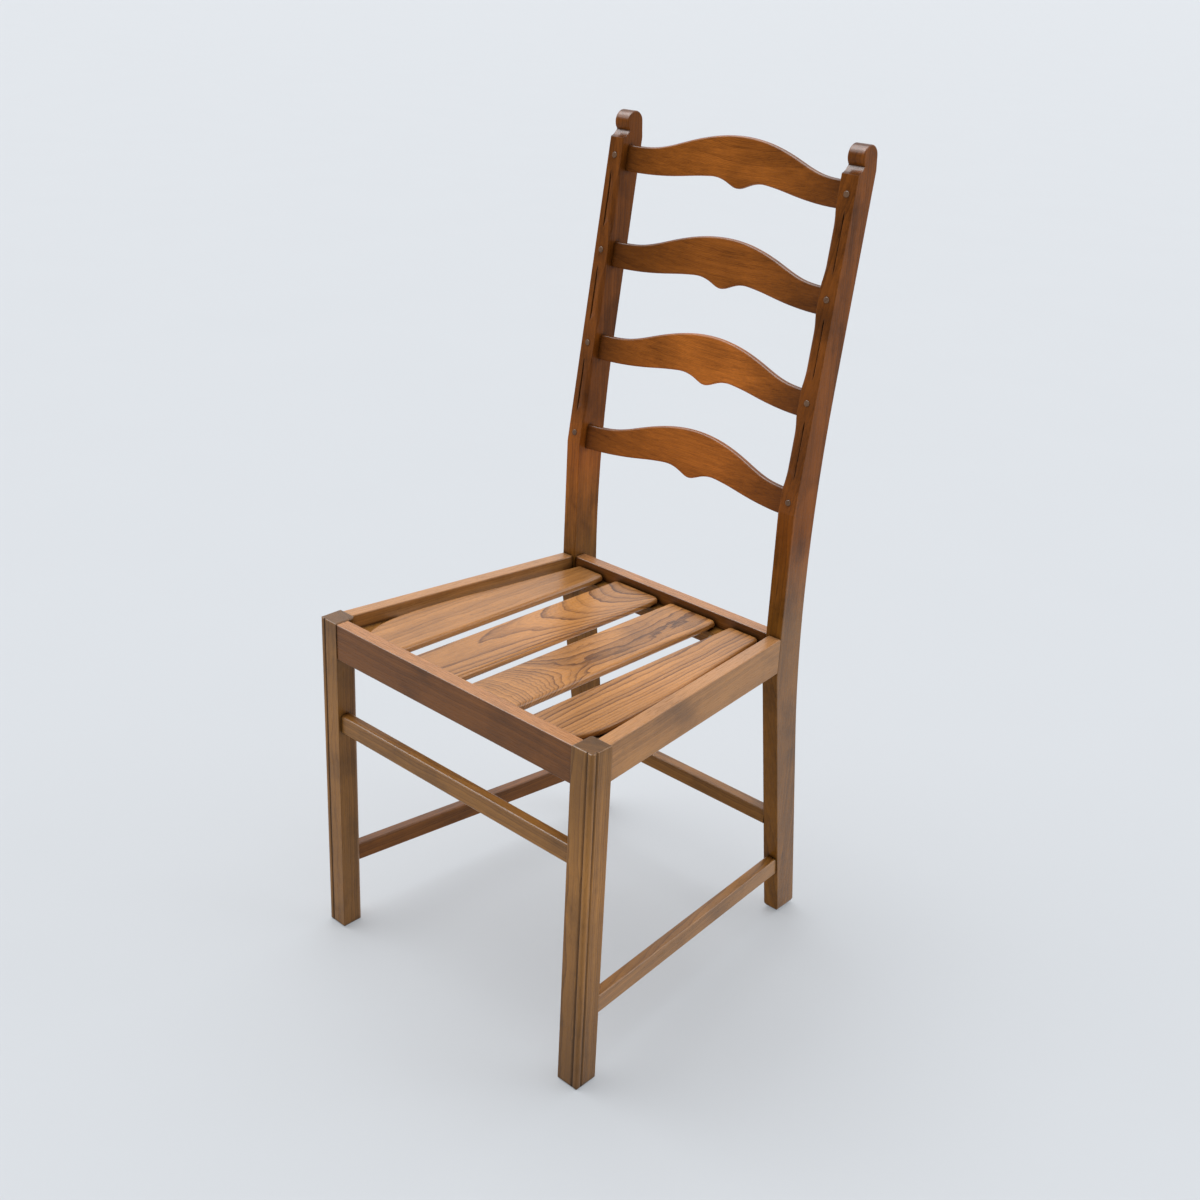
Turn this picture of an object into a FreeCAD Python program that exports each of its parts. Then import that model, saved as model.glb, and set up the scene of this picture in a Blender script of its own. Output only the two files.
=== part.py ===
import math
import os

import FreeCAD, Part

os.makedirs("parts", exist_ok=True)

# A joined wooden ladderback chair. Millimetres, +Z up, the front of the chair towards -Y.
# While it is built, y is measured from the front faces of the front legs; the whole chair is
# moved at the end so that the origin is on the floor under the middle of its overall box.

V = FreeCAD.Vector
X_AXIS = V(1, 0, 0)
ORIGIN = V(0, 0, 0)

# Front legs
leg_height = 430.0
leg_outer_x = 218.7
leg_width = 29.0
leg_depth = 30.2
leg_inner_x = leg_outer_x - leg_width
leg_back_radius = 7.0
leg_top_easing = 1.8
leg_foot_easing = 3.2
bead_set_in = 6.4
bead_lip = 0.35
bead_corner = 1.1
bead_quirk_width = 3.0
bead_quirk_low = 1.1
bead_quirk_depth = 1.9

# Rear posts, drawn as a side profile of constant width
post_outer_x = 179.2
post_width = 21.5
post_inner_x = post_outer_x - post_width
post_front_y = 372.0
post_foot_front_y = 429.5
post_foot_back_y = 464.6
lower_bend_z = 370.0
upper_bend_z = 578.0
back_lean = math.atan(0.152)
waist_back_y = 413.2
waist_z = 475.0
lower_back_slope = 0.1373
upper_back_slope = 0.1411
back_top_y = 464.2
back_top_z = 957.5
post_easing = 1.3
post_foot_easing = 8.0

# The rolled top of each rear post
shoulder_z = 955.0
roll_centre_y = 449.7
roll_centre_z = 972.4
roll_radius = 13.4
roll_notch_angle = 225.0
roll_back_angle = 4.0
hollow_share_y = 0.58
hollow_share_z = 0.38

# Ladder slats, bent backwards to one radius
slat_count = 4
slat_thickness = 7.5
slat_set_back = 11.2
slat_bow = 17.0
slat_pitch = 116.4
lowest_slat_s = -5.2
slat_end_height = 31.0
slat_easing = 2.2
slat_tenon_length = 15.0
slat_tenon_thickness = 6.0
slat_tenon_shoulder = 3.0
slat_tenon_set_in = 0.8

# Half outlines of a ladder slat from its end to its middle, as (x, height above the slat's base)
slat_top_half = [(post_inner_x, slat_end_height), (138, 31.0), (120, 32.9), (100, 38.1), (80, 45.1),
                 (60, 51.4), (40, 56.2), (20, 59.2), (0, 60.2)]
slat_low_half = [(post_inner_x, -0.4), (120, 0.0), (100, 1.8), (85, 3.8), (70, 6.2), (57, 8.1), (45, 9.5),
                 (35, 10.1), (27, 9.3), (20, 7.5), (10, 3.4), (5, 1.5), (0, 0.8)]

# Pegs through the slat tenons
peg_radius = 3.6
peg_lift = 3.0
top_peg_lift = 0.8
peg_depth = 26.0
peg_proud = 0.9
peg_dome = 0.7

# Stopped moulding on the front inner corner of the rear posts: a rounded corner that falls to a
# quirk; each is run out at both ends on the radius of its cutter. Heights are above the slat below.
moulding_width = 13.2
moulding_fall = 1.0
corner_radius = 5.2
corner_set_in = 0.1
corner_cutter_radius = 70.0
corner_start = 27.0
corner_end = 64.0
quirk_width = 1.7
quirk_depth = 2.4
quirk_cutter_radius = 14.0
quirk_start = 23.0
quirk_end = 76.0

# Seat frame
rail_height = 45.5
rail_thickness = 18.0
rail_easing = 1.6
front_rail_y = 1.0
front_rail_top = 428.8
seat_slope = math.atan(8.0 / 343.4)
side_rail_run_in = (leg_outer_x - post_outer_x) / post_front_y
back_rail_y = 374.5

# Tenons of the members across the chair: length, set-in behind the member's face, thickness
front_rail_tenon = (19.0, 3.0, 8.0)
back_rail_tenon = (14.0, 10.0, 7.0)
front_stretcher_tenon = (16.0, 3.5, 7.0)
back_stretcher_tenon = (14.0, 4.0, 8.0)

# Tenons of the side members: set-in on both cheeks, reach into the leg, reach into the post
side_rail_tenon = (5.0, 12.0, 10.5)
side_stretcher_tenon = (3.0, 15.0, 15.0)
tenon_shoulder = 5.0
mortise_clearance = 1.0

# Seat slats and what carries them; depths are measured down from the rail tops
seat_slat_thickness = 10.0
seat_slat_drop = 8.5
seat_slat_round = 4.2
seat_slat_corner = 6.0
seat_slat_front_y = 20.5
seat_slat_back_y = 372.5
centre_gap = 18.5
slat_gap = 20.5
inner_slat_width = 74.0
batten_width = 18.0
batten_height = 14.0
front_batten_half_length = 116.0
block_along_front = 74.0
block_along_side = 78.0
block_height = 20.0

# Curved outer edge of the two outer seat slats, as (x, y) from front to back
outer_slat_edge = [(160.0, seat_slat_front_y), (171.0, 43.0), (177.0, 70.0), (178.0, 100.0), (175.0, 160.0),
                   (167.5, 220.0), (158.5, 290.0), (148.0, seat_slat_back_y)]

# Stretchers
front_stretcher_top = 306.9
front_stretcher_height = 24.0
front_stretcher_y = 4.0
front_stretcher_thickness = 14.1
side_stretcher_front_top = 106.7
side_stretcher_back_top = 91.6
side_stretcher_height = 23.8
side_stretcher_thickness = 14.0
side_stretcher_front_inset = 5.8
side_stretcher_back_inset = 1.8
back_stretcher_top = 159.5
back_stretcher_height = 20.6
back_stretcher_thickness = 15.8
back_stretcher_y = 406.0
stretcher_easing = 2.2
front_stretcher_easing = 3.0

# Wood screws that hold the seat slats and battens from below and behind
screw_head_radius = 3.6
screw_head_height = 2.6
screw_shank_radius = 1.7
screw_point_length = 4.0
screw_slot_width = 0.8
screw_slot_depth = 1.0
slat_screw_length = 20.0
block_screw_length = 26.0
batten_screw_length = 30.0
batten_screw_spacing = 88.0
back_end_screw_x = 126.0
block_screw_x = 146.0
block_screw_set_back = 4.0

# How far a cutter or a rough blank reaches past what it cuts or is cut by
spare = 5.0


def solid_from_face(wire, direction):
    return Part.Face(wire).extrude(direction)


def prism_z(points, z0, z1):
    """Upright prism over a polygon given as (x, y) points."""
    wire = Part.makePolygon([V(x, y, z0) for x, y in points + points[:1]])
    return solid_from_face(wire, V(0, 0, z1 - z0))


def prism_x(points, x0, x1):
    """Sideways prism over a polygon given as (y, z) points."""
    wire = Part.makePolygon([V(x0, y, z) for y, z in points + points[:1]])
    return solid_from_face(wire, V(x1 - x0, 0, 0))


def box(x0, x1, y0, y1, z0, z1):
    return Part.makeBox(x1 - x0, y1 - y0, z1 - z0, V(x0, y0, z0))


def mirrored(shape):
    return shape.mirror(ORIGIN, X_AXIS)


def eased(shape, radius, keep):
    """Round every straight or curved edge for which keep(edge) is true."""
    edges = [edge for edge in shape.Edges if keep(edge)]
    return shape.makeFillet(radius, edges)


def line(a, b):
    return Part.makeLine(a, b)


def arc(a, b, c):
    return Part.Arc(a, b, c).toShape()


def seat_frame(shape):
    """Tip a shape drawn with the rail tops at z = 0 onto the sloping seat."""
    placed = shape.copy()
    placed.rotate(V(0, leg_depth, 0), X_AXIS, -math.degrees(seat_slope))
    placed.translate(V(0, 0, front_rail_top))
    return placed


def back_frame(shape):
    """Place a shape drawn as (x, depth behind the post face, way up) on the leaning back."""
    placed = shape.copy()
    placed.rotate(ORIGIN, X_AXIS, -math.degrees(back_lean))
    placed.translate(V(0, post_front_y, upper_bend_z))
    return placed


# Front leg: a square post with a corner bead between two quirks for its full height
def front_leg():
    quirk_end = bead_set_in + bead_quirk_width
    quirk_mid = bead_set_in + bead_quirk_low
    round_mid = leg_back_radius * (1 - math.sqrt(0.5))

    def at(inward, back):
        return V(leg_outer_x - inward, back, 0)

    section = [
        line(at(leg_width, 0), at(quirk_end, 0)),
        line(at(quirk_end, 0), at(quirk_mid, bead_quirk_depth)),
        line(at(quirk_mid, bead_quirk_depth), at(bead_set_in, bead_lip)),
        arc(at(bead_set_in, bead_lip), at(bead_corner, bead_corner), at(bead_lip, bead_set_in)),
        line(at(bead_lip, bead_set_in), at(bead_quirk_depth, quirk_mid)),
        line(at(bead_quirk_depth, quirk_mid), at(0, quirk_end)),
        line(at(0, quirk_end), at(0, leg_depth)),
        line(at(0, leg_depth), at(leg_width - leg_back_radius, leg_depth)),
        arc(at(leg_width - leg_back_radius, leg_depth), at(leg_width - round_mid, leg_depth - round_mid),
            at(leg_width, leg_depth - leg_back_radius)),
        line(at(leg_width, leg_depth - leg_back_radius), at(leg_width, 0)),
    ]
    leg = solid_from_face(Part.Wire(section), V(0, 0, leg_height))
    blank = Part.makeBox(leg_width, leg_depth, leg_height, V(leg_outer_x - leg_width, 0, 0))
    blank = eased(blank, leg_foot_easing, lambda edge: edge.BoundBox.ZMax < 0.01)
    blank = eased(blank, leg_top_easing, lambda edge: edge.BoundBox.ZMin > leg_height - 0.01)
    return leg.common(blank)


# Rear post: raked foot, upright waist, leaning back and a roll carved at the top
def post_front_at(z):
    if z < lower_bend_z:
        rake = (post_foot_front_y - post_front_y) / lower_bend_z
        return post_foot_front_y - rake * z
    return post_front_y + max(0.0, z - upper_bend_z) * math.tan(back_lean)


def waist_arc(straight_y, slope, up):
    """Middle and end of the round stretch from the waist to a straight that would pass the waist
    height at straight_y with the given slope."""
    angle = math.atan(slope)
    radius = (waist_back_y - straight_y) / slope / math.tan(angle / 2)
    sign = 1 if up else -1
    points = []
    for turn in (angle / 2, angle):
        y = waist_back_y + radius * (1 - math.cos(turn))
        points.append(V(post_inner_x, y, waist_z + sign * radius * math.sin(turn)))
    return points


def post_blank():
    def at(y, z):
        return V(post_inner_x, y, z)

    def on_roll(degrees):
        turn = math.radians(degrees)
        return at(roll_centre_y + roll_radius * math.cos(turn), roll_centre_z + roll_radius * math.sin(turn))

    foot_front = at(post_foot_front_y, 0)
    foot_back = at(post_foot_back_y, 0)
    lower_bend = at(post_front_y, lower_bend_z)
    upper_bend = at(post_front_y, upper_bend_z)
    shoulder = at(post_front_at(shoulder_z), shoulder_z)
    notch = on_roll(roll_notch_angle)
    hollow = at(shoulder.y + (notch.y - shoulder.y) * hollow_share_y,
                shoulder.z + (notch.z - shoulder.z) * hollow_share_z)
    crown = on_roll((roll_notch_angle + roll_back_angle) / 2)
    roll_back = on_roll(roll_back_angle)
    back_top = at(back_top_y, back_top_z)
    waist = at(waist_back_y, waist_z)
    upper_mid, upper_end = waist_arc(back_top_y - upper_back_slope * (back_top_z - waist_z),
                                     upper_back_slope, True)
    lower_mid, lower_end = waist_arc(post_foot_back_y - lower_back_slope * waist_z, lower_back_slope, False)
    profile = [
        line(foot_front, lower_bend),
        line(lower_bend, upper_bend),
        line(upper_bend, shoulder),
        arc(shoulder, hollow, notch),
        arc(notch, crown, roll_back),
        line(roll_back, back_top),
        line(back_top, upper_end),
        arc(upper_end, upper_mid, waist),
        arc(waist, lower_mid, lower_end),
        line(lower_end, foot_back),
        line(foot_back, foot_front),
    ]
    return solid_from_face(Part.Wire(profile), V(post_width, 0, 0))


def stopped_cut(section, depth, radius, s0, s1):
    """Cutters that run a section up the leaning post from s0 to s1 and out again at both ends."""
    low_face = Part.Face(Part.Wire(section)).translated(V(0, 0, s0))
    high_face = low_face.translated(V(0, 0, s1 - s0))
    run_out = math.degrees(math.acos(1 - (depth + 1) / (radius + depth)))
    cutters = [low_face.extrude(V(0, 0, s1 - s0)),
               low_face.revolve(V(0, -radius, s0), X_AXIS, -run_out),
               high_face.revolve(V(0, -radius, s1), X_AXIS, run_out)]
    return [back_frame(cutter) for cutter in cutters]


def corner_section():
    """The rounded corner and the slow fall from its crest to the quirk."""
    x = post_inner_x
    crest = V(x + corner_radius, corner_set_in, 0)
    foot = V(x + moulding_width - quirk_width / 2, moulding_fall, 0)
    run = foot.x - crest.x
    drop = foot.y - crest.y
    radius = (run ** 2 + drop ** 2) / (2 * drop)
    half_turn = math.asin(run / radius) / 2
    fall_mid = crest + V(math.sin(half_turn), 1 - math.cos(half_turn), 0) * radius
    diagonal = corner_radius * (1 - math.sqrt(0.5))
    round_mid = V(x + diagonal, corner_set_in + diagonal, 0)
    round_end = V(x, corner_set_in + corner_radius, 0)
    outside = [round_end, V(x - spare, round_end.y, 0), V(x - spare, -spare, 0), V(foot.x, -spare, 0), foot]
    section = [line(a, b) for a, b in zip(outside, outside[1:])]
    return section + [arc(foot, fall_mid, crest), arc(crest, round_mid, round_end)]


def quirk_section():
    """A narrow V between the moulding and the flat of the post."""
    x = post_inner_x + moulding_width
    tip = V(x - quirk_width / 2, quirk_depth, 0)
    corners = [V(x, 0, 0), V(x, -spare, 0), V(x - quirk_width, -spare, 0), V(x - quirk_width, 0, 0), tip]
    return [line(a, b) for a, b in zip(corners, corners[1:] + corners[:1])]


def slat_base(index):
    """Height up the leaning back of ladder slat 1 (top) to 4 (bottom)."""
    return lowest_slat_s + slat_pitch * (slat_count - index)


def rear_post():
    post = post_blank()

    def eased_arris(edge):
        long_outer = edge.BoundBox.XMin > post_inner_x + 1 and edge.Length > 90
        round_roll = edge.BoundBox.ZMin > shoulder_z + 1 and edge.Length > 2 * roll_radius
        return edge.BoundBox.XLength < 0.01 and (long_outer or round_roll)

    def foot_edge(edge):
        return edge.BoundBox.ZMax < 0.01

    post = eased(post, post_foot_easing, foot_edge)
    post = eased(post, post_easing, eased_arris)
    for index in range(2, slat_count + 1):
        slat_top = slat_base(index) + slat_end_height
        cutters = stopped_cut(corner_section(), corner_set_in + corner_radius, corner_cutter_radius,
                              slat_top + corner_start, slat_top + corner_end)
        cutters += stopped_cut(quirk_section(), quirk_depth, quirk_cutter_radius,
                               slat_top + quirk_start, slat_top + quirk_end)
        for cutter in cutters:
            post = post.cut(cutter)
    return post


# Ladder slat: an arched top edge, a small drop at the middle of the lower edge
def ladder_slat(index):
    base = slat_base(index)
    half = post_inner_x
    radius = (half ** 2 + slat_bow ** 2) / (2 * slat_bow)
    middle_back = slat_set_back + slat_bow + slat_thickness
    front_y = -spare

    def curve(points):
        spline = Part.BSplineCurve()
        spline.interpolate([V(x, front_y, base + height) for x, height in points])
        return spline.toShape()

    left_of_middle = [(-x, height) for x, height in reversed(slat_top_half[:-1])]
    top = curve(slat_top_half + left_of_middle)
    low_right = curve(slat_low_half)
    low_left = mirrored(low_right)
    end_right = line(V(half, front_y, base + slat_low_half[0][1]), V(half, front_y, base + slat_end_height))
    edges = [top, mirrored(end_right), low_left, low_right, end_right]
    outline = solid_from_face(Part.Wire(Part.__sortEdges__(edges)), V(0, middle_back + 2 * spare, 0))

    ring_height = slat_top_half[-1][1] + 2 * spare
    ring_foot = V(0, slat_set_back + slat_bow - radius, base - spare)
    outer = Part.makeCylinder(radius + slat_thickness, ring_height, ring_foot)
    inner = Part.makeCylinder(radius, ring_height, ring_foot)
    slat = outline.common(outer.cut(inner))

    def long_arris(edge):
        flat_end = abs(abs(edge.BoundBox.XMin) - half) < 0.01 and edge.BoundBox.XLength < 0.01
        return not flat_end and edge.Length > 100

    return eased(slat, slat_easing, long_arris)


def slat_tenon(index, extra):
    base = slat_base(index)
    depth = slat_set_back + slat_tenon_set_in
    return box(post_inner_x, post_inner_x + slat_tenon_length + extra, depth,
               depth + slat_tenon_thickness, base + slat_tenon_shoulder,
               base + slat_end_height - slat_tenon_shoulder)


def peg(index, proud):
    """One round peg across the slat tenon, square to the leaning post face."""
    lift = top_peg_lift if index == 1 else peg_lift
    s = slat_base(index) + slat_end_height / 2 + lift
    x = post_inner_x + post_width / 2
    return Part.makeCylinder(peg_radius, peg_depth + proud, V(x, -proud, s), V(0, 1, 0))


nodes = {}

leg_right = front_leg()
post_right = rear_post()

# Ladder slats with their tenons, and the mortises for them in the posts
pegs_right = []
for index in range(1, slat_count + 1):
    tenon = slat_tenon(index, 0)
    hole = peg(index, spare)
    slat = ladder_slat(index).fuse([tenon, mirrored(tenon)]).cut([hole, mirrored(hole)])
    nodes["ladder_slat_%d" % index] = back_frame(slat)
    post_right = post_right.cut([back_frame(slat_tenon(index, mortise_clearance)), back_frame(hole)])
    domed = eased(peg(index, peg_proud), peg_dome,
                  lambda edge: edge.BoundBox.YLength < 0.01 and edge.BoundBox.YMin < 0)
    pegs_right.append(back_frame(domed))

nodes["ladder_pegs_right"] = Part.makeCompound(pegs_right)
nodes["ladder_pegs_left"] = Part.makeCompound([mirrored(shape) for shape in pegs_right])


# Rails and stretchers that run across the chair
def cross_member(half, y0, thickness, top, height, easing, tenon_sizes):
    """A member with a tenon at each end, and the mortise for its right-hand end."""
    length, set_in, tenon_thickness = tenon_sizes

    def tenon(extra):
        return box(half, half + length + extra, y0 + set_in, y0 + set_in + tenon_thickness,
                   top - height + tenon_shoulder, top - tenon_shoulder)

    body = box(-half, half, y0, y0 + thickness, top - height, top)
    body = eased(body, easing, lambda edge: edge.BoundBox.XLength > 2 * half - 1)
    return body.fuse([tenon(0), mirrored(tenon(0))]), tenon(mortise_clearance)


nodes["front_rail"], front_rail_mortise = cross_member(
    leg_inner_x, front_rail_y, rail_thickness, front_rail_top, rail_height, rail_easing, front_rail_tenon)
nodes["front_stretcher"], front_stretcher_mortise = cross_member(
    leg_inner_x, front_stretcher_y, front_stretcher_thickness, front_stretcher_top,
    front_stretcher_height, front_stretcher_easing, front_stretcher_tenon)
nodes["back_stretcher"], back_stretcher_mortise = cross_member(
    post_inner_x, back_stretcher_y, back_stretcher_thickness, back_stretcher_top,
    back_stretcher_height, stretcher_easing, back_stretcher_tenon)
flat_back_rail, back_rail_mortise = cross_member(
    post_inner_x, back_rail_y, rail_thickness, 0.0, rail_height, rail_easing, back_rail_tenon)
nodes["back_rail"] = seat_frame(flat_back_rail)

leg_mortises = [front_rail_mortise, front_stretcher_mortise]
post_mortises = [back_stretcher_mortise, seat_frame(back_rail_mortise)]


# Side rails and side stretchers close in towards the back
def side_member(outer, thickness, y0, y1, top, height):
    """Straight member on the right between two y planes; outer and top are functions of y."""
    plan = [(outer(y0), y0), (outer(y1), y1), (outer(y1) - thickness, y1), (outer(y0) - thickness, y0)]
    side = [(y0, top(y0)), (y1, top(y1)), (y1, top(y1) - height), (y0, top(y0) - height)]
    lowest = min(z for y, z in side) - spare
    highest = max(z for y, z in side) + spare
    narrowest = min(x for x, y in plan) - spare
    widest = max(x for x, y in plan) + spare
    return prism_z(plan, lowest, highest).common(prism_x(side, narrowest, widest))


def between_joints(front, back, joint_y):
    """A value that runs straight from the back of the leg to the post face at joint_y."""
    return lambda y: front + (back - front) * (y - leg_depth) / (joint_y - leg_depth)


def rail_outer_x(y):
    return leg_outer_x - side_rail_run_in * y


seat_back_top = front_rail_top - math.tan(seat_slope) * (post_front_y - leg_depth)
side_rail_top = between_joints(front_rail_top, seat_back_top, post_front_y)
side_stretcher_top = between_joints(side_stretcher_front_top, side_stretcher_back_top, post_front_y)
stretcher_outer_x = between_joints(leg_outer_x - side_stretcher_front_inset,
                                   post_outer_x - side_stretcher_back_inset,
                                   post_front_at(side_stretcher_back_top))
leg_envelope = box(leg_inner_x - spare, leg_outer_x + spare, -spare, leg_depth, -spare, leg_height + spare)
post_envelope = post_blank()

for name, outer, thickness, top, height, easing, tenon_sizes in (
        ("side_rail", rail_outer_x, rail_thickness, side_rail_top, rail_height, rail_easing,
         side_rail_tenon),
        ("side_stretcher", stretcher_outer_x, side_stretcher_thickness, side_stretcher_top,
         side_stretcher_height, stretcher_easing, side_stretcher_tenon)):
    cheek, into_leg, into_post = tenon_sizes
    middle_z = top(post_front_y) - height / 2
    post_face = post_front_at(middle_z)
    body = side_member(outer, thickness, leg_depth - spare, post_face + into_post, top, height)
    body = eased(body, easing, lambda edge: edge.BoundBox.YLength > 200)
    body = max(body.cut([leg_envelope, post_envelope]).Solids, key=lambda solid: solid.Volume)

    def tenons(extra):
        return side_member(lambda y: outer(y) - cheek, thickness - 2 * cheek, leg_depth - into_leg - extra,
                           post_face + into_post + extra, lambda y: top(y) - tenon_shoulder,
                           height - 2 * tenon_shoulder)

    right = body.fuse(tenons(0)).removeSplitter()
    nodes[name + "_right"] = right
    nodes[name + "_left"] = mirrored(right)
    leg_mortises.append(tenons(mortise_clearance))
    post_mortises.append(tenons(mortise_clearance))

leg_right = leg_right.cut(leg_mortises)
post_right = post_right.cut(post_mortises)
nodes["front_leg_right"] = leg_right
nodes["front_leg_left"] = mirrored(leg_right)
nodes["rear_post_right"] = post_right
nodes["rear_post_left"] = mirrored(post_right)

# Seat slats, drawn flat with the rail tops at z = 0
slat_low = -seat_slat_drop - seat_slat_thickness


def seat_slat(x0, outer_edge):
    """One slat from its straight inner edge x0 to an outer edge given as (x, y) points."""
    points = [V(x, y, slat_low) for x, y in outer_edge]
    edge = Part.BSplineCurve()
    edge.interpolate(points)
    inner_front = V(x0, seat_slat_front_y, slat_low)
    inner_back = V(x0, seat_slat_back_y, slat_low)
    wire = Part.Wire([line(inner_back, inner_front), line(inner_front, points[0]), edge.toShape(),
                      line(points[-1], inner_back)])
    slat = solid_from_face(wire, V(0, 0, seat_slat_thickness))
    slat = eased(slat, seat_slat_corner, lambda e: e.BoundBox.ZLength > seat_slat_thickness - 0.1)
    return eased(slat, seat_slat_round, lambda e: e.BoundBox.ZLength < 0.01)


inner_x = centre_gap / 2
outer_x = inner_x + inner_slat_width + slat_gap
inner_slat_edge = [(inner_x + inner_slat_width, y) for y in (seat_slat_front_y, seat_slat_back_y)]
slat_bodies = {3: seat_slat(inner_x, inner_slat_edge), 4: seat_slat(outer_x, outer_slat_edge)}
slat_bodies[2] = mirrored(slat_bodies[3])
slat_bodies[1] = mirrored(slat_bodies[4])

# Battens and corner blocks under the slats
batten_low = slat_low - batten_height
block_low = slat_low - block_height
front_inner_y = front_rail_y + rail_thickness
front_batten = box(-front_batten_half_length, front_batten_half_length, front_inner_y,
                   front_inner_y + batten_width, batten_low, slat_low)
back_batten_y = back_rail_y - batten_width


def side_inner_x(y):
    return rail_outer_x(y) - rail_thickness


back_half = [(side_inner_x(y), y) for y in (back_batten_y, back_rail_y)]
back_batten = prism_z(back_half + [(-x, y) for x, y in reversed(back_half)], batten_low, slat_low)

block_corner_x = side_inner_x(front_inner_y)
block_reach_y = front_inner_y + block_along_side
block_points = [(block_corner_x - block_along_front, front_inner_y), (block_corner_x, front_inner_y),
                (side_inner_x(block_reach_y), block_reach_y)]
corner_block = prism_z(block_points, block_low, slat_low)


def screw(length):
    """Countersunk wood screw along +Z with the flat of its head at z = 0: its hole and its body."""
    outline = [ORIGIN, V(screw_head_radius, 0, 0), V(screw_shank_radius, 0, screw_head_height),
               V(screw_shank_radius, 0, length - screw_point_length), V(0, 0, length), ORIGIN]
    body = Part.Face(Part.makePolygon(outline)).revolve(ORIGIN, V(0, 0, 1), 360)
    slot = box(-spare, spare, -screw_slot_width / 2, screw_slot_width / 2, -spare, screw_slot_depth)
    return body, body.cut(slot)


holes = []


def screws_at(places, length, angle):
    """Slotted screws turned about X and moved to places; their holes are added to the list."""
    bodies = []
    for place in places:
        hole, body = screw(length)
        for shape, group in ((hole, holes), (body, bodies)):
            shape.rotate(ORIGIN, X_AXIS, angle)
            shape.translate(V(*place))
            group.append(shape)
    return bodies


slat_screw_y = front_inner_y + batten_width / 2
back_screw_y = back_batten_y + batten_width / 2
inner_mid = inner_x + inner_slat_width / 2
batten_mid_z = (batten_low + slat_low) / 2
row = (-batten_screw_spacing, 0.0, batten_screw_spacing)
batten_places = [(x, y, batten_low) for x in (-inner_mid, inner_mid) for y in (slat_screw_y, back_screw_y)]
batten_places += [(x, back_screw_y, batten_low) for x in (-back_end_screw_x, back_end_screw_x)]
block_places = [(x, slat_screw_y + block_screw_set_back, block_low) for x in (-block_screw_x, block_screw_x)]
slat_screws = screws_at(batten_places, slat_screw_length, 0)
slat_screws += screws_at(block_places, block_screw_length, 0)
batten_screws = screws_at([(x, front_inner_y + batten_width, batten_mid_z) for x in row],
                          batten_screw_length, 90)
batten_screws += screws_at([(x, back_batten_y, batten_mid_z) for x in row], batten_screw_length, -90)
seat_holes = [seat_frame(hole) for hole in holes]

for number, body in slat_bodies.items():
    nodes["seat_slat_%d" % number] = seat_frame(body).cut(seat_holes)
nodes["front_batten"] = seat_frame(front_batten).cut([nodes["front_rail"]] + seat_holes)
nodes["back_batten"] = seat_frame(back_batten).cut([post_envelope, mirrored(post_envelope)] + seat_holes)
for side, block in (("right", corner_block), ("left", mirrored(corner_block))):
    neighbours = [nodes["front_leg_" + side], nodes["front_rail"], nodes["side_rail_" + side]]
    nodes["corner_block_" + side] = seat_frame(block).cut(neighbours + seat_holes)
for name in ("front_rail", "back_rail"):
    nodes[name] = nodes[name].cut(seat_holes)
nodes["slat_screws"] = Part.makeCompound([seat_frame(body) for body in slat_screws])
nodes["batten_screws"] = Part.makeCompound([seat_frame(body) for body in batten_screws])

# Put the origin on the floor under the middle of the overall box
overall = Part.makeCompound(list(nodes.values())).optimalBoundingBox(False, False)
shift = V(0, -overall.Center.y, 0)
for name, shape in nodes.items():
    moved = shape.copy()
    moved.translate(shift)
    moved.exportStep("parts/%s.step" % name)
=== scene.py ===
import math

import bpy
from mathutils import Euler, Matrix, Vector


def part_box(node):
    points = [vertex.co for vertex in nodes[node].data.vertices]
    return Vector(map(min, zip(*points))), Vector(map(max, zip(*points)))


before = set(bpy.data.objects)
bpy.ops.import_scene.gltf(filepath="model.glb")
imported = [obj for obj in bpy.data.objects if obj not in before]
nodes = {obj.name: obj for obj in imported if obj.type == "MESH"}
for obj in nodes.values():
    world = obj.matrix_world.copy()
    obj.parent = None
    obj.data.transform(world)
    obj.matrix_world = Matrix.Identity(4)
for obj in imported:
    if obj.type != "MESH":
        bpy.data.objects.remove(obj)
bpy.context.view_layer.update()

scene = bpy.context.scene

MILLIMETRE = 0.001

# Angles of the chair's members, as built
SEAT_SLOPE = math.atan(8.0 / 343.4)
BACK_LEAN = math.atan(0.152)
SIDE_CLOSING = math.atan(39.5 / 372.0)

# Turns that lay a board's own axes in the chair, with its length along the grain
ALONG_X = (0.0, 0.0, 0.0)
ALONG_Y = (0.0, 0.0, math.pi / 2)
ALONG_Z = (0.0, -math.pi / 2, 0.0)
LEANING = (-BACK_LEAN, 0.0, 0.0)
SLOPING = (0.0, SEAT_SLOPE, math.pi / 2)

# Grain of a board, in millimetres along (u), across (v) and through (w) it. Growth rings are counted as
# along * u + bend * (u past bend_from) ** 2 - flank * |v - apex| ** point + across * v + through * w + noise.
# Bands of (u, factor) along the board are painted light and shade over its stain; the outermost two are at
# its ends. Up to low_end, and fading out beyond it, the side faces shine more and the colour takes the low
# sheen tint, a painted sheen.
PLAIN = dict(along=0.0, bend=0.0, bend_from=0.0, bend_side=1.0, flank=0.0, apex=0.0, point=2.0,
             across=0.14, through=0.22, shake=0.8, lines=0.35, tone=0.2, fine=0.35, mottle=0.3,
             seed=0.0, bands=(), rubbed_top=0.0, smoke=0.35, shaded_right=1.0, top_shine=0.4,
             top_tone=1.0, side_shine=0.0, low_end=1000.0, low_tint=None)
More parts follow.
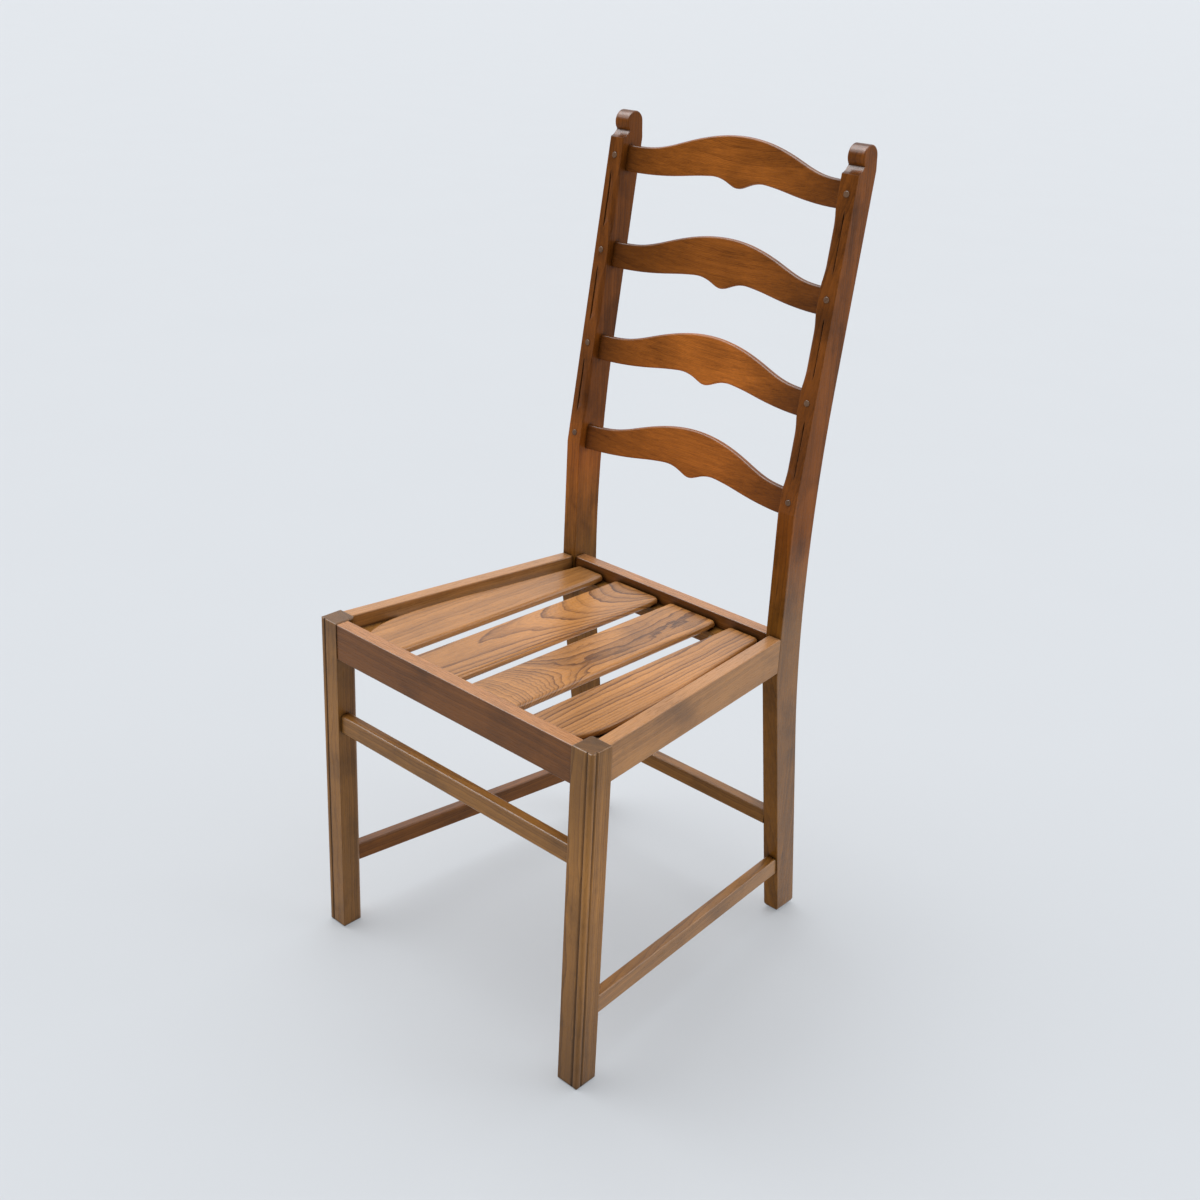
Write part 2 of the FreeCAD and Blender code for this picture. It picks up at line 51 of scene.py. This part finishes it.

# Stains as (light wood, dark wood, wood rubbed thin that is also the painted light on top faces, strength of
# the mirror shine, roughness)
LADDER_STAIN = ("C0702A", "4E2406", "D08A48", 0.08, 0.25)
POST_STAIN = ("96551D", "341B08", "B07A48", 0.10, 0.25)
FRONT_RAIL_STAIN = ("8E5827", "3E220C", "CD8F5A", 0.24, 0.27)
RAIL_STAIN = ("BC8449", "5E3A1B", "D09868", 0.34, 0.28)
LEG_STAIN = ("AE7838", "482B12", "C09060", 0.28, 0.29)
# A darker copy of the leg stain, as painted shade
PAINTED_SHADE_STAIN = ("885422", "381E0A", "A0703E", 0.18, 0.30)
SEAT_STAIN = ("C6894A", "5E3818", "D6A060", 0.32, 0.28)
FAR_STAIN = ("A06C2E", "40260E", "B08050", 0.16, 0.29)
PEG_STAIN = ("A8805F", "6A4630", "B08A68", 0.30, 0.22)

# Noises over a board, as (scale along the grain, scale across it, detail, roughness)
NOISES = {
    "sway": (0.006, 0.03, 2.0, 0.5),
    "ripple": (0.03, 0.12, 3.0, 0.5),
    "fibre": (0.05, 1.6, 4.0, 0.6),
    "pores": (0.16, 3.2, 2.0, 0.6),
    "streak": (0.012, 0.42, 3.0, 0.6),
    "mottle": (0.010, 0.022, 3.0, 0.55),
    "smoke": (0.014, 0.020, 4.0, 0.6),
}

# Each board's name gives a number, from its letters and their places, and its noises are moved by these
# steps times that number along, across and through it, so that no two boards are alike
FIRST_PLACE = 7
APART = (0.37, 0.61, 0.83)

# Growth rings that the sway and the ripple shift the figure by, and fine rings in each growth ring
SWAY_SHIFT = 4.0
RIPPLE_SHIFT = 1.1
FINE_RINGS = 5.0

# How much each layer of the figure deepens the stain
DEPTH = dict(base=0.25, fine=0.22, fibre=0.9, streak=0.8, pores=0.24, mottle=1.6)

# Curves through (position, value): a ring's line from its start to its end, painted shade from a closed
# corner to open air, and hand polish from an upright face to a level one
RING_LINE = ((0.0, 1.0), (0.10, 0.75), (0.32, 0.18), (0.75, 0.0), (0.95, 0.12), (1.0, 1.0))
FINE_LINE = ((0.0, 1.0), (0.35, 0.2), (0.7, 0.0), (1.0, 1.0))
CORNER_SHADE = ((0.0, 0.04), (0.45, 0.24), (0.75, 0.76), (0.93, 1.0))
POLISHED_TILT = ((0.15, 0.0), (0.45, 1.0), (0.85, 1.0), (0.97, 0.0))

# Ramps as (from, to, value at the first, value at the second)
LINE_STRENGTH = (0.0, 1.0, 0.35, 1.0)
OPEN_PORES = (0.54, 0.68, 0.0, 1.0)
END_GRAIN_TONE = (0.75, 0.97, 1.0, 0.55)
ARRIS_WEAR = (0.99, 0.85, 0.0, 0.15)
FIBRE_WEAR = (0.4, 0.7, 0.3, 1.0)
POLISHED_BACKWARD = (0.25, 0.5, 0.2, 1.0)

# Where other ramps start and end, whose values are the board's own
SMOKE_EDGES = (0.50, 0.72)
# The next two tilts are for painted shade and painted light on top faces
TOP_SHADE_TILT = (0.5, 0.8)
TOP_LIGHT_TILT = (0.6, 0.95)
TOP_SHINE_TILT = (0.25, 0.75)
SIDE_TILT = (0.5, 0.9)
FIBRE_SHEEN = (0.3, 0.7)

# In millimetres along the board: how far the bands of painted light and shade wander, and how far the low end
# takes to fade out
BAND_WANDER = 60.0
LOW_FADE = 120.0

# In metres: how far the painted shade in corners reaches, how far the arrises are rubbed, and how deep the
# pores are
CORNER_REACH = 0.007
ARRIS_RADIUS = 0.0012
PORE_DEPTH = 0.0002

# Strength of the pores' bump, and samples of the nodes that feel out corners and arrises
PORE_BUMP = 0.25
SURFACE_SAMPLES = 6

# What the fibres add to the roughness, and what hand polish takes from it and adds to the shine
FIBRE_ROUGHNESS = (-0.04, 0.07)
POLISH_SMOOTHING = 0.12
POLISH_SHINE = 0.9


def linear(code):
    """Linear colour from a six-digit web colour."""
    channels = [int(code[i:i + 2], 16) / 255 for i in (0, 2, 4)]
    return [c / 12.92 if c <= 0.04045 else ((c + 0.055) / 1.055) ** 2.4 for c in channels] + [1.0]


class Tree:
    """Short calls for building the nodes of a material or of the world."""

    def __init__(self, owner, shader="Principled BSDF"):
        owner.use_nodes = True
        self.owner = owner
        self.tree = owner.node_tree
        self.shader = self.tree.nodes[shader]

    def add(self, kind, settings=(), inputs=()):
        node = self.tree.nodes.new(kind)
        for key, value in dict(settings).items():
            setattr(node, key, value)
        for key, value in dict(inputs).items():
            self.feed(node.inputs[key], value)
        return node

    def feed(self, socket, value):
        if isinstance(value, bpy.types.NodeSocket):
            self.tree.links.new(value, socket)
        else:
            socket.default_value = value

    def math(self, operation, a, b=0.0, clamp=False):
        settings = {"operation": operation, "use_clamp": clamp}
        return self.add("ShaderNodeMath", settings, {0: a, 1: b}).outputs[0]

    def times(self, a, b):
        return self.math("MULTIPLY", a, b)

    def total(self, *terms):
        result = terms[0]
        for term in terms[1:]:
            result = self.math("ADD", result, term)
        return result

    def off_mean(self, noise, weight):
        """A noise about zero instead of about one half."""
        return self.times(self.math("SUBTRACT", noise, 0.5), weight)

    def dot(self, a, b):
        return self.add("ShaderNodeVectorMath", {"operation": "DOT_PRODUCT"}, {0: a, 1: b}).outputs["Value"]

    def parts(self, vector):
        return self.add("ShaderNodeSeparateXYZ", {}, {0: vector}).outputs

    def noise(self, vector, scale, detail=2.0, roughness=0.5):
        inputs = {"Vector": vector, "Scale": scale, "Detail": detail, "Roughness": roughness}
        return self.add("ShaderNodeTexNoise", {}, inputs).outputs["Fac"]

    def mix(self, factor, a, b, blend="MIX"):
        node = self.add("ShaderNodeMix", {"data_type": "RGBA", "blend_type": blend})
        self.feed(node.inputs[0], factor)
        self.feed(node.inputs[6], a)
        self.feed(node.inputs[7], b)
        return node.outputs[2]

    def tint(self, colour, factor):
        return self.mix(1.0, colour, factor, "MULTIPLY")

    def curve(self, factor, stops):
        """A grey ramp through (position, value) stops."""
        node = self.add("ShaderNodeValToRGB", {}, {"Fac": factor})
        elements = node.color_ramp.elements
        while len(elements) < len(stops):
            elements.new(0.5)
        for element, (position, value) in zip(elements, stops):
            element.position = position
            element.color = (value, value, value, 1)
        return node.outputs[0]

    def spread(self, value, low, high, new_low, new_high):
        inputs = {0: value, 1: low, 2: high, 3: new_low, 4: new_high}
        return self.add("ShaderNodeMapRange", {}, inputs).outputs[0]


class Wood(Tree):
    """Stained and satin polished wood; place and turn put the board's own axes in the chair."""

    def __init__(self, name, place, turn, stain, grain):
        super().__init__(bpy.data.materials.new(name))
        self.grain = grain
        light, dark, rubbed, shine, roughness = stain
        coords = self.add("ShaderNodeTexCoord").outputs["Object"]
        self.board = self.add("ShaderNodeMapping", {"vector_type": "TEXTURE"},
                              {"Vector": coords, "Location": place, "Rotation": turn,
                               "Scale": (MILLIMETRE,) * 3}).outputs[0]
        self.surface = self.add("ShaderNodeNewGeometry").outputs["Normal"]
        self.rightward, self.backward, self.upward = self.parts(self.surface)
        self.soft = self.add("ShaderNodeBevel", {"samples": SURFACE_SAMPLES},
                             {"Radius": ARRIS_RADIUS}).outputs[0]
        self.fibre = self.layer("fibre")
        self.mottle = self.layer("mottle")
        self.pores = self.spread(self.layer("pores"), *OPEN_PORES)
        self.u, self.v, self.w = self.parts(self.board)
        low_end = grain["low_end"]
        self.low = self.spread(self.u, low_end, low_end + LOW_FADE, 1.0, 0.0)

        rings = self.growth_rings()
        ring_own = self.add("ShaderNodeTexWhiteNoise", {"noise_dimensions": "1D"},
                            {"W": self.math("FLOOR", rings)}).outputs["Value"]
        line = self.curve(self.math("FRACT", rings), RING_LINE)
        line = self.times(line, self.spread(ring_own, *LINE_STRENGTH))
        colour = self.stained(rings, ring_own, line, linear(light), linear(dark))
        colour = self.shaded(colour, turn)
        self.feed(self.shader.inputs["Base Color"], self.wear_and_top_light(colour, linear(rubbed)))
        self.polish(line, shine, roughness)

    def layer(self, name):
        """One of the noises, drawn out along the grain and away from those of other boards."""
        along, across, detail, roughness = NOISES[name]
        away = sum(ord(letter) * place for place, letter in enumerate(self.owner.name, FIRST_PLACE))
        inputs = {"Vector": self.board, "Scale": (along, across, across),
                  "Location": tuple(step * away for step in APART)}
        stretched = self.add("ShaderNodeMapping", {}, inputs).outputs[0]
        return self.noise(stretched, 1.0, detail, roughness)

    def growth_rings(self):
        """Count of growth rings at each point of the board."""
        grain = self.grain
        past = self.times(self.math("SUBTRACT", self.u, grain["bend_from"]), grain["bend_side"])
        past = self.math("POWER", self.math("MAXIMUM", past, 0.0), 2.0)
        off_apex = self.math("ABSOLUTE", self.math("SUBTRACT", self.v, grain["apex"]))
        off_apex = self.math("POWER", off_apex, grain["point"])
        return self.total(
            self.times(self.u, grain["along"]), self.times(past, grain["bend"]),
            self.times(off_apex, -grain["flank"]), self.times(self.v, grain["across"]),
            self.times(self.w, grain["through"]),
            self.times(self.layer("sway"), SWAY_SHIFT * grain["shake"]),
            self.times(self.layer("ripple"), RIPPLE_SHIFT * grain["shake"]), grain["seed"])

    def stained(self, rings, ring_own, line, light, dark):
        """Each growth ring is a dark porous line that fades into its own tone of later wood, under fibres
        and pores drawn out along the grain and a slow unevenness of the stain."""
        grain = self.grain
        fine = self.curve(self.math("FRACT", self.times(rings, FINE_RINGS)), FINE_LINE)
        depth = self.total(
            self.times(line, grain["lines"]), self.times(fine, DEPTH["fine"] * grain["fine"]),
            self.off_mean(self.fibre, DEPTH["fibre"] * grain["fine"]),
            self.off_mean(self.layer("streak"), DEPTH["streak"] * grain["fine"]),
            self.times(self.pores, DEPTH["pores"]),
            self.off_mean(self.mottle, grain["mottle"] * DEPTH["mottle"]), DEPTH["base"])
        depth = self.math("ADD", depth, self.off_mean(ring_own, grain["tone"]), clamp=True)
        smoke = self.spread(self.layer("smoke"), *SMOKE_EDGES, 1.0, 1.0 - grain["smoke"])
        return self.tint(self.mix(depth, light, dark), smoke)

    def shaded(self, colour, turn):
        """The stain is darker on end grain; over it lie painted light and shade along the board, a painted
        sheen low down, and painted shade in corners, joints and grooves, on the ladder's top faces and on
        faces turned to the right.
        """
        grain = self.grain
        grain_axis = Euler(turn).to_matrix() @ Vector((1.0, 0.0, 0.0))
        facing = self.math("ABSOLUTE", self.dot(self.surface, grain_axis))
        colour = self.tint(colour, self.spread(facing, *END_GRAIN_TONE))
        # Bands of painted light and shade along the board
        if grain["bands"]:
            # Halved and doubled again, because a ramp's values stop at one
            first, last = grain["bands"][0][0], grain["bands"][-1][0]
            wandering = self.total(self.u, self.off_mean(self.mottle, BAND_WANDER))
            stops = [((u - first) / (last - first), factor / 2) for u, factor in grain["bands"]]
            band = self.curve(self.spread(wandering, first, last, 0.0, 1.0), stops)
            colour = self.tint(colour, self.times(band, 2.0))
        # Painted sheen near the floor: a cooler, greyer tint in place of the floor's reflection
        if grain["low_tint"]:
            colour = self.mix(self.low, colour, self.tint(colour, grain["low_tint"]))
        # Painted shade: darker in corners, joints and grooves, the more closed in a point is
        corner = self.add("ShaderNodeAmbientOcclusion", {"samples": SURFACE_SAMPLES},
                          {"Distance": CORNER_REACH}).outputs["AO"]
        colour = self.tint(colour, self.curve(corner, CORNER_SHADE))
        # Painted shade: the top faces darker
        if grain["top_tone"] != 1.0:
            colour = self.tint(colour, self.spread(self.upward, *TOP_SHADE_TILT, 1.0, grain["top_tone"]))
        # Painted shade on faces turned to the right
        if grain["shaded_right"] != 1.0:
            shade = self.spread(self.rightward, *SIDE_TILT, 1.0, grain["shaded_right"])
            colour = self.tint(colour, shade)
        return colour

    def wear_and_top_light(self, colour, rubbed):
        """The stain is rubbed thin along the arrises, and the top faces take the same lighter colour as
        painted light.
        """
        worn_and_lit = self.spread(self.dot(self.soft, self.surface), *ARRIS_WEAR)
        # Painted light: the top faces lighter
        if self.grain["rubbed_top"]:
            top = self.spread(self.upward, *TOP_LIGHT_TILT, 0.0, self.grain["rubbed_top"])
            worn_and_lit = self.total(worn_and_lit, top)
        worn_and_lit = self.times(worn_and_lit, self.spread(self.fibre, *FIBRE_WEAR))
        return self.mix(worn_and_lit, colour, rubbed)

    def polish(self, line, shine, roughness):
        """Sunk pores and lines under a satin finish, brighter where hands have polished the eased edges."""
        sunk = self.total(self.times(line, 0.5), self.times(self.pores, 0.5))
        bump = self.add("ShaderNodeBump", {}, {"Strength": PORE_BUMP, "Distance": PORE_DEPTH,
                                               "Height": self.math("SUBTRACT", 1.0, sunk),
                                               "Normal": self.soft})
        self.feed(self.shader.inputs["Normal"], bump.outputs[0])
        polished = self.times(self.curve(self.upward, POLISHED_TILT),
                              self.spread(self.math("ABSOLUTE", self.backward), *POLISHED_BACKWARD))
        smoother, rougher = FIBRE_ROUGHNESS
        dull = self.spread(self.fibre, *FIBRE_SHEEN, roughness + smoother, roughness + rougher)
        smoothing = self.times(polished, POLISH_SMOOTHING)
        self.feed(self.shader.inputs["Roughness"], self.math("SUBTRACT", dull, smoothing))
        gloss = self.spread(self.upward, *TOP_SHINE_TILT, shine, self.grain["top_shine"])
        gloss = self.total(gloss, self.times(polished, POLISH_SHINE))
        if self.grain["side_shine"]:
            sideways = self.math("ABSOLUTE", self.rightward)
            sideways = self.spread(sideways, *SIDE_TILT, 0.0, self.grain["side_shine"])
            gloss = self.total(gloss, self.times(self.low, sideways))
        self.feed(self.shader.inputs["Specular IOR Level"], gloss)


def replace_material(name, material):
    node = nodes[name]
    node.data.materials.clear()
    node.data.materials.append(material)


def dress(name, turn, stain, **changes):
    """Wood for one node, with the board's own axes from the middle of its box."""
    low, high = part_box(name)
    wood = Wood(name, (low + high) / 2, turn, stain, dict(PLAIN, **changes))
    replace_material(name, wood.owner)


# What differs between the two sides, as the photograph shows them
# These are bands of painted light and shade, painted shade on faces turned to the right, and more shine on
# the side faces
leg_looks = {
    "left": dict(bands=((-215, 0.95), (-100, 1.0), (60, 1.2), (140, 1.0), (215, 0.9)), shaded_right=0.66),
    "right": dict(bands=((-215, 0.6), (-145, 0.74), (-45, 1.0), (55, 1.25), (110, 1.02), (160, 0.84),
                         (215, 0.85)), side_shine=0.05),
}
post_looks = {
    "left": dict(bands=((-490, 1.0), (-90, 1.2), (-20, 1.8), (60, 1.7), (130, 1.0), (490, 1.0)),
                 shaded_right=0.8),
    "right": dict(bands=((-490, 1.25), (-60, 1.25), (60, 1.15), (130, 1.0), (490, 1.0)), side_shine=0.38),
}
# The left stretcher takes the darker stain, a painted shade, and the right one more shine on its sides
stretcher_looks = {"left": (PAINTED_SHADE_STAIN, 0.0), "right": (LEG_STAIN, 0.3)}

for side, sign in (("left", -1), ("right", 1)):
    closing = (0.0, 0.0, math.pi / 2 + sign * SIDE_CLOSING)
    dress("front_leg_" + side, ALONG_Z, LEG_STAIN, across=0.30, through=0.12 * sign, seed=3.0 * sign,
          **leg_looks[side])
    # Rear posts with a painted sheen low down
    dress("rear_post_" + side, ALONG_Z, POST_STAIN, across=0.20, through=0.16 * sign, lines=0.2,
          mottle=0.45, smoke=0.5, fine=0.75, top_shine=0.12, low_end=-60.0,
          low_tint=(0.85, 1.15, 1.3, 1.0), **post_looks[side])
    # Side rails with painted light on their top faces
    dress("side_rail_" + side, closing, RAIL_STAIN, lines=0.25, through=0.3, rubbed_top=0.7)
    stretcher_stain, stretcher_shine = stretcher_looks[side]
    dress("side_stretcher_" + side, closing, stretcher_stain, through=0.3, side_shine=stretcher_shine)
    dress("corner_block_" + side, (0.0, 0.0, math.radians(45 * sign)), LEG_STAIN)

# Front and back rails with painted light on their top faces
for name in ("front_rail", "back_rail"):
    dress(name, ALONG_X, FRONT_RAIL_STAIN, across=0.1, through=0.25, lines=0.25, rubbed_top=1.0)
dress("front_stretcher", ALONG_X, LEG_STAIN, across=0.1, through=0.25, lines=0.3, top_shine=0.2)
for name in ("back_stretcher", "front_batten", "back_batten"):
    dress(name, ALONG_X, FAR_STAIN, across=0.1, through=0.25, lines=0.3)

# From the top to the bottom
ladder_bands = {
    1: ((-158, 0.45), (-110, 0.86), (-40, 1.05), (40, 1.05), (110, 0.60), (158, 0.38)),
    2: ((-158, 0.36), (-110, 0.52), (-40, 0.85), (40, 0.88), (110, 0.52), (158, 0.36)),
    3: ((-158, 0.45), (-110, 0.88), (-40, 1.40), (40, 1.40), (110, 0.64), (158, 0.38)),
    4: ((-158, 0.45), (-110, 0.90), (-40, 1.15), (40, 1.15), (110, 0.62), (158, 0.38)),
}
# Ladder slats with bands of painted light and shade, and painted shade on their top faces
for index, bands in ladder_bands.items():
    dress("ladder_slat_%d" % index, LEANING, LADDER_STAIN, across=0.16, through=0.12, lines=0.1,
          tone=0.15, mottle=0.25, seed=11.0 * index, bands=bands, fine=0.9, shake=0.4, smoke=0.25,
          top_shine=0.05, top_tone=0.7)

# From the left to the right, each with its own figure
seat_grain = {
    1: dict(lines=0.3, across=0.12, fine=0.5, smoke=0.12, mottle=0.2,
            bands=((-175, 1.0), (50, 1.0), (120, 0.8), (175, 0.7))),
    2: dict(along=0.004, bend=0.00013, bend_from=-54.0, flank=0.00033, apex=11.8, point=2.4, across=0.0,
            lines=0.75, tone=0.3, shake=0.3, fine=0.5, smoke=0.05, mottle=0.15, seed=7.3,
            bands=((-175, 1.0), (-100, 1.06), (-20, 1.34), (40, 1.28), (110, 1.1), (175, 0.95))),
    3: dict(bend=0.0009, bend_from=-30.0, bend_side=-1.0, flank=0.012, apex=-19.0, point=1.5,
            across=0.03, lines=0.7, shake=0.9, mottle=0.5, smoke=0.3, fine=0.5,
            bands=((-175, 1.0), (0, 1.06), (175, 1.04))),
    4: dict(along=-0.006, flank=0.001, apex=10.0, across=0.15, lines=0.8, shake=0.5, smoke=0.1,
            fine=0.5, mottle=0.2,
            bands=((-175, 0.92), (-100, 0.95), (0, 1.22), (110, 1.04), (175, 0.95))),
}
# Seat slats with bands of painted light and shade
for index, grain in seat_grain.items():
    dress("seat_slat_%d" % index, SLOPING, SEAT_STAIN, **grain)

for side in ("left", "right"):
    dress("ladder_pegs_" + side, ALONG_Y, PEG_STAIN)

# Brushed steel, with its roughness as a ramp
BRUSHED_ROUGHNESS = (0.3, 0.7, 0.28, 0.5)
steel = Tree(bpy.data.materials.new("screw_steel"))
steel.shader.inputs["Metallic"].default_value = 1.0
brushed = steel.noise(steel.add("ShaderNodeTexCoord").outputs["Object"], scale=900.0, detail=3.0)
steel.feed(steel.shader.inputs["Base Color"], steel.mix(brushed, linear("A89A78"), linear("6E6450")))
steel.feed(steel.shader.inputs["Roughness"], steel.spread(brushed, *BRUSHED_ROUGHNESS))
for name in ("slat_screws", "batten_screws"):
    replace_material(name, steel.owner)


# Plain pale floor that glows a little of its own, so that the chair's shadow stays faint
FLOOR_RADIUS = 60.0
FLOOR_CORNERS = 64
FLOOR_GLOW = 0.26


def make_floor():
    turns = [2 * math.pi * i / FLOOR_CORNERS for i in range(FLOOR_CORNERS)]
    ring = [(FLOOR_RADIUS * math.cos(a), FLOOR_RADIUS * math.sin(a), 0.0) for a in turns]
    mesh = bpy.data.meshes.new("floor")
    mesh.from_pydata(ring, [], [tuple(range(FLOOR_CORNERS))])
    floor = bpy.data.objects.new("floor", mesh)
    scene.collection.objects.link(floor)
    paper = Tree(bpy.data.materials.new("floor_paper"))
    speckle = paper.noise(paper.add("ShaderNodeTexCoord").outputs["Object"], scale=3.0)
    paper.feed(paper.shader.inputs["Base Color"], paper.mix(speckle, linear("A3A6A9"), linear("A1A4A7")))
    paper.shader.inputs["Roughness"].default_value = 0.8
    paper.shader.inputs["Emission Color"].default_value = linear("F1F6FB")
    paper.shader.inputs["Emission Strength"].default_value = FLOOR_GLOW
    mesh.materials.append(paper.owner)


make_floor()


# Soft studio light: broad lamps a long way off, so that the floor is lit evenly
def lamp(name, towards, degrees_wide, strength, colour=(1, 1, 1)):
    light = bpy.data.lights.new(name, "SUN")
    light.energy = strength
    light.angle = math.radians(degrees_wide)
    light.color = colour
    holder = bpy.data.objects.new(name, light)
    holder.rotation_euler = Vector(towards).to_track_quat("Z", "Y").to_euler()
    scene.collection.objects.link(holder)


lamp("overhead", towards=(-0.32, -0.08, 0.94), degrees_wide=55, strength=1.2)
lamp("key", towards=(-0.60, -0.38, 0.68), degrees_wide=45, strength=0.5)
lamp("side", towards=(0.70, 0.62, 0.35), degrees_wide=30, strength=0.45, colour=(0.92, 0.96, 1.0))


# Even light from all round, with two broad glows as (direction, strength): high behind on the left, and low
# behind on the right. A pale haze low down keeps the floor from ending in a dark line.
SKY_EVEN = 0.25
SKY_GLOWS = (((-0.45, 0.60, 0.65), 1.0), ((0.75, 0.6, 0.25), 0.5))
SKY_HAZE = 0.78
HAZE_TOP = 0.14


def make_sky():
    sky = Tree(bpy.data.worlds.new("studio"), "Background")
    direction = sky.add("ShaderNodeTexCoord").outputs["Generated"]
    strength = SKY_EVEN
    for aim, glow in SKY_GLOWS:
        towards = sky.math("MAXIMUM", sky.dot(direction, Vector(aim).normalized()), 0.0)
        strength = sky.total(sky.times(towards, glow), strength)
    haze = sky.spread(sky.parts(direction)[2], 0.0, HAZE_TOP, SKY_HAZE, 0.0)
    sky.feed(sky.shader.inputs["Strength"], sky.math("MAXIMUM", strength, haze))
    sky.shader.inputs["Color"].default_value = linear("F5F6F9")
    scene.world = sky.owner


make_sky()
scene.view_settings.view_transform = "Standard"

# Camera at the photograph's viewing angle, in metres, degrees and millimetres of lens
CAMERA_PLACE = (1.06712, -1.19646, 1.1857)
CAMERA_AZIMUTH = 42.0
CAMERA_ELEVATION = 23.329
CAMERA_ROLL = 2.541
CAMERA_LENS = 44.50
CAMERA_SENSOR = 36.0
CAMERA_SHIFT = (0.0107, -0.0260)
CAMERA_REACH = 200.0


def make_camera():
    azimuth, elevation, roll = (math.radians(a) for a in (CAMERA_AZIMUTH, CAMERA_ELEVATION, CAMERA_ROLL))
    back = Vector((math.sin(azimuth) * math.cos(elevation), -math.cos(azimuth) * math.cos(elevation),
                   math.sin(elevation)))
    level_right = Vector((math.cos(azimuth), math.sin(azimuth), 0.0))
    level_up = back.cross(level_right)
    right = math.cos(roll) * level_right + math.sin(roll) * level_up
    up = -math.sin(roll) * level_right + math.cos(roll) * level_up
    turn = Matrix((right, up, back)).transposed().to_4x4()
    camera = bpy.data.objects.new("camera", bpy.data.cameras.new("camera"))
    camera.matrix_world = Matrix.Translation(CAMERA_PLACE) @ turn
    camera.data.sensor_width = CAMERA_SENSOR
    camera.data.lens = CAMERA_LENS
    camera.data.shift_x, camera.data.shift_y = CAMERA_SHIFT
    camera.data.clip_end = CAMERA_REACH
    scene.collection.objects.link(camera)
    scene.camera = camera


make_camera()
